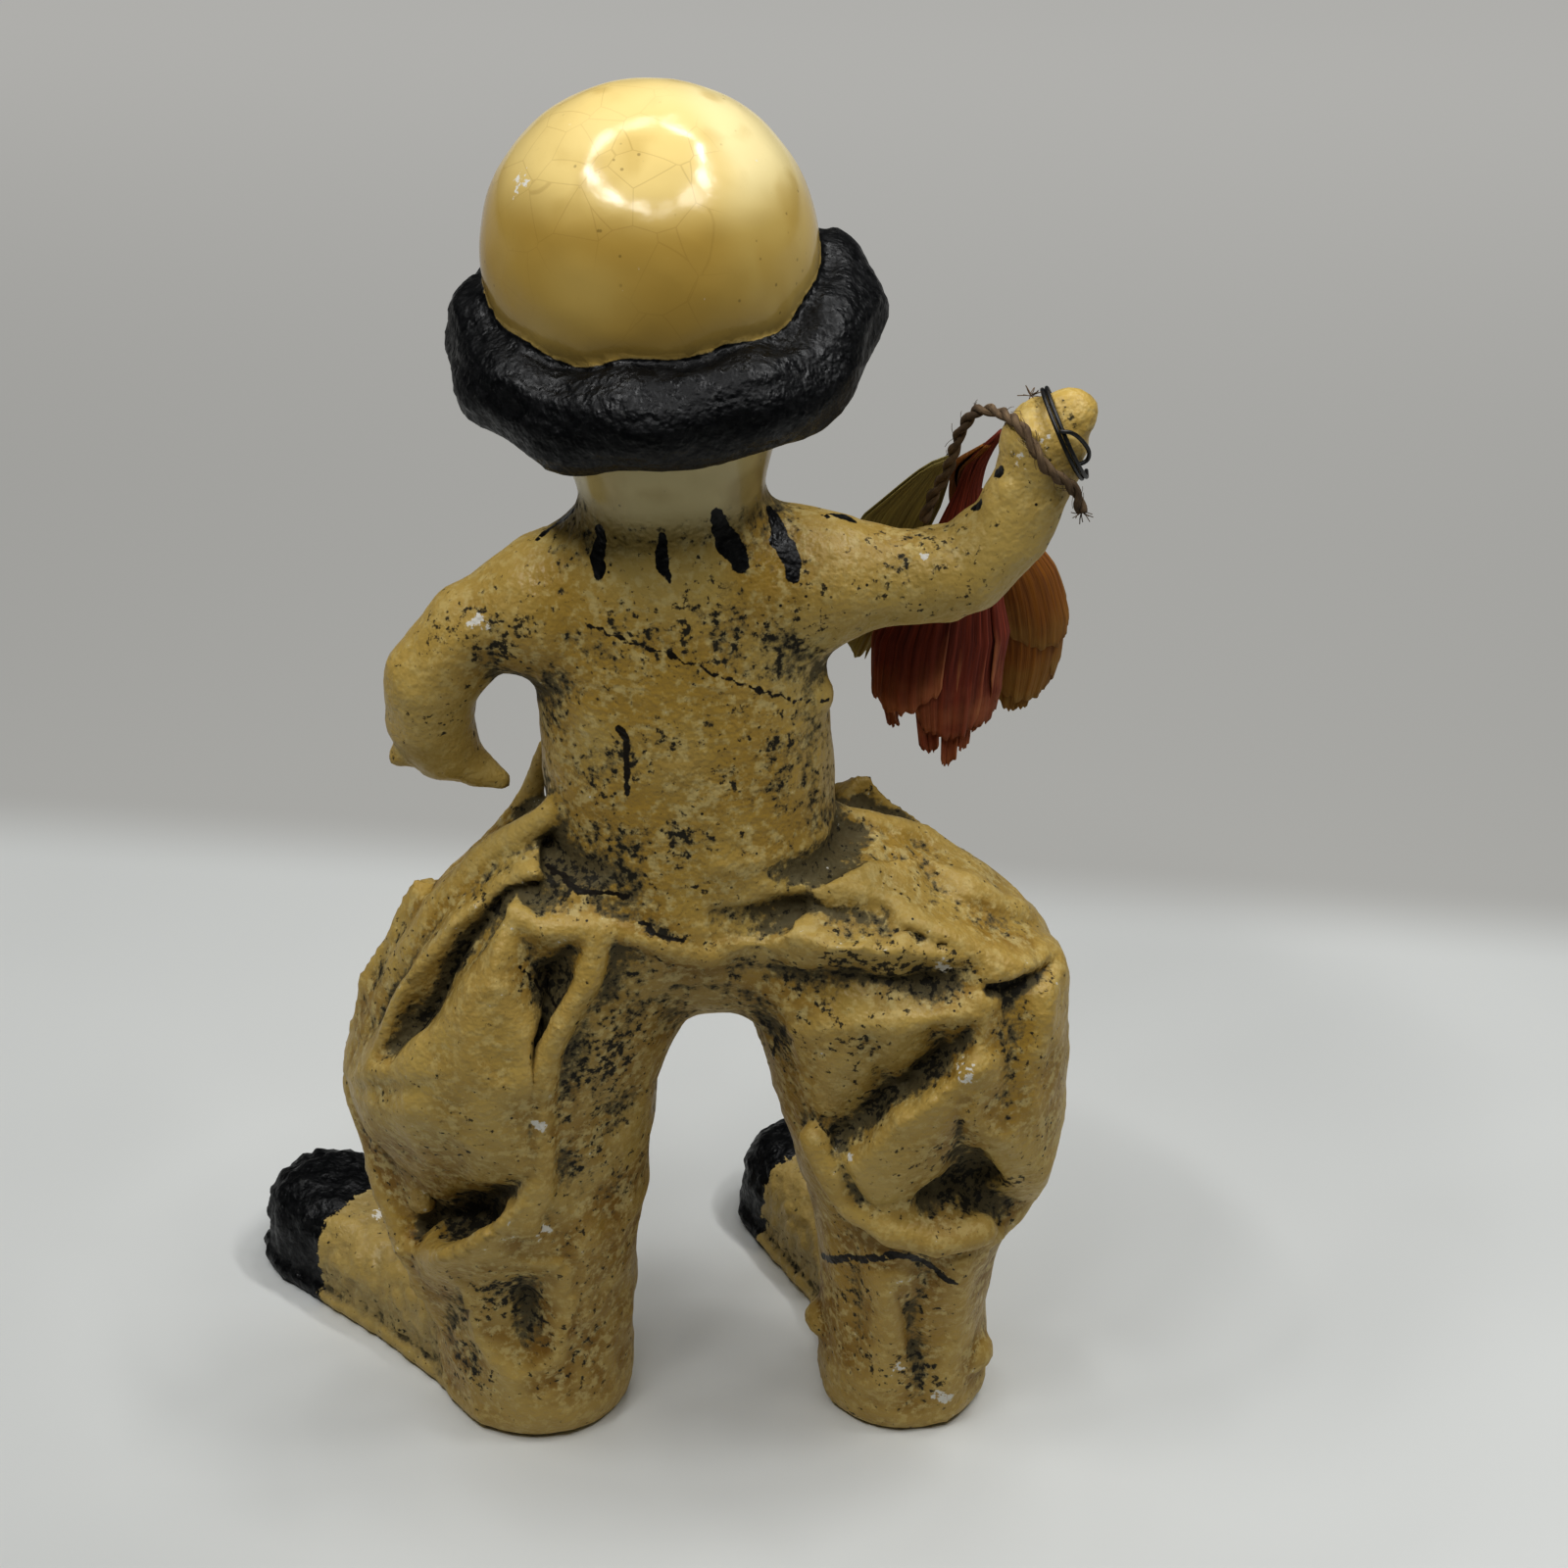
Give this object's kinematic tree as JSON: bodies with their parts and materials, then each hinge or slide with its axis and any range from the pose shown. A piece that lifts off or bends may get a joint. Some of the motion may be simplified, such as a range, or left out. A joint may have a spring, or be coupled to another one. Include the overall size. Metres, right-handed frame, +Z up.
{
  "type": "papier-mache figure",
  "caption": "Small standing papier-mache figure in wide folded trousers and big shoes, holding a bunch of crepe paper flowers tied on with twine.",
  "frame": {"origin": "bottom centre of the object's box, on the plane of the soles, without the twine", "axes": "+Z up from the soles to the top of the head, the figure faces -Y, and its raised hand with the flowers is on the -X side"},
  "size_m": [0.1229, 0.0791, 0.2006],
  "materials": {
    "varnished_papier_mache": "papier-mache painted cream and ochre, with a yellowed varnish, dark dirt in the hollows and black painted hair, strokes and toe caps",
    "green_crepe_paper": "matte faded green crepe paper with fine crinkles",
    "red_crepe_paper": "matte faded red crepe paper with fine crinkles",
    "orange_crepe_paper": "matte faded orange crepe paper with fine crinkles",
    "jute_twine": "rough brown two-ply jute twine",
    "dark_wire": "dark waxed binding wire"
  },
  "bodies": {
    "root": {"papier_mache_figure": "varnished_papier_mache", "green_paper_leaf": "green_crepe_paper", "red_paper_flower": "red_crepe_paper", "orange_paper_flower": "orange_crepe_paper", "jute_twine": "jute_twine", "binding_wire": "dark_wire"}
  },
  "joints": []
}
